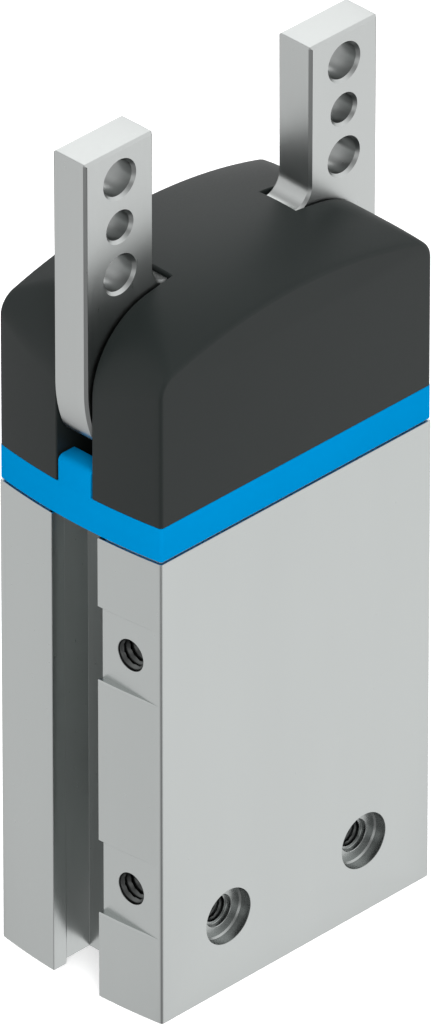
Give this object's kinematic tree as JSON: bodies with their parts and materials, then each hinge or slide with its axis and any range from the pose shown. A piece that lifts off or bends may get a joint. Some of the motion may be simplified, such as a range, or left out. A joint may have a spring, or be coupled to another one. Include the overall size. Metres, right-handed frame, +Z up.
{
  "type": "pneumatic angle gripper",
  "caption": "Double-acting pneumatic angle gripper with an anodised aluminium housing, blue trim frame, black domed cover and steel lever jaws that swing outward",
  "frame": {"origin": "centre of the housing's bottom face", "axes": "+X along the front face, away from the air ports; +Y to the back; +Z up to the jaw tips"},
  "size_m": [0.058, 0.0322, 0.1381],
  "materials": {
    "anodised_aluminium": "satin anodised",
    "jaw_steel": "polished nickel plate",
    "ground_steel": "ground",
    "dark_steel": "black oxide",
    "bearing_bronze": "turned",
    "blue_trim": "satin",
    "black_cover": "satin, fine grain",
    "seal_rubber": "matt",
    "bonded_magnet": "matt",
    "guide_tape": "matt"
  },
  "bodies": {
    "root_body": {"housing": "anodised_aluminium", "end_cap": "anodised_aluminium", "end_cap_o_ring": "seal_rubber", "retaining_ring": "dark_steel", "rod_seal": "seal_rubber", "rod_guide_bush": "bearing_bronze", "trim_frame": "blue_trim", "bearing_block": "anodised_aluminium", "cover": "black_cover", "block_screw_front_left": "dark_steel", "block_screw_front_right": "dark_steel", "block_screw_rear_left": "dark_steel", "block_screw_rear_right": "dark_steel", "left_pivot_pin": "ground_steel", "right_pivot_pin": "ground_steel"},
    "piston_unit": {"piston": "anodised_aluminium", "piston_seal_lower": "seal_rubber", "piston_magnet": "bonded_magnet", "piston_wear_ring": "guide_tape", "piston_seal_upper": "seal_rubber", "piston_rod": "ground_steel", "piston_screw": "dark_steel", "crosshead": "ground_steel", "left_driver_pin": "ground_steel", "right_driver_pin": "ground_steel"},
    "left_lever": {"left_jaw": "jaw_steel", "left_pivot_bush": "bearing_bronze"},
    "right_lever": {"right_jaw": "jaw_steel", "right_pivot_bush": "bearing_bronze"}
  },
  "joints": [
    {"name": "piston_stroke", "type": "slide", "parent": "root_body", "child": "piston_unit", "axis": [0, 0, 1], "range_m": [0, 0.006]},
    {"name": "left_jaw_swing", "type": "hinge", "parent": "root_body", "child": "left_lever", "pos_m": [-0.0072, 0, 0.1008], "axis": [0, -1, 0], "range_deg": [0, 20]},
    {"name": "right_jaw_swing", "type": "hinge", "parent": "root_body", "child": "right_lever", "pos_m": [0.0072, 0, 0.1008], "axis": [0, 1, 0], "range_deg": [0, 20]}
  ],
  "couplings": [
    {"joint": "left_jaw_swing", "follows": "piston_stroke", "rad_per_m": 58.17},
    {"joint": "right_jaw_swing", "follows": "piston_stroke", "rad_per_m": 58.17}
  ]
}
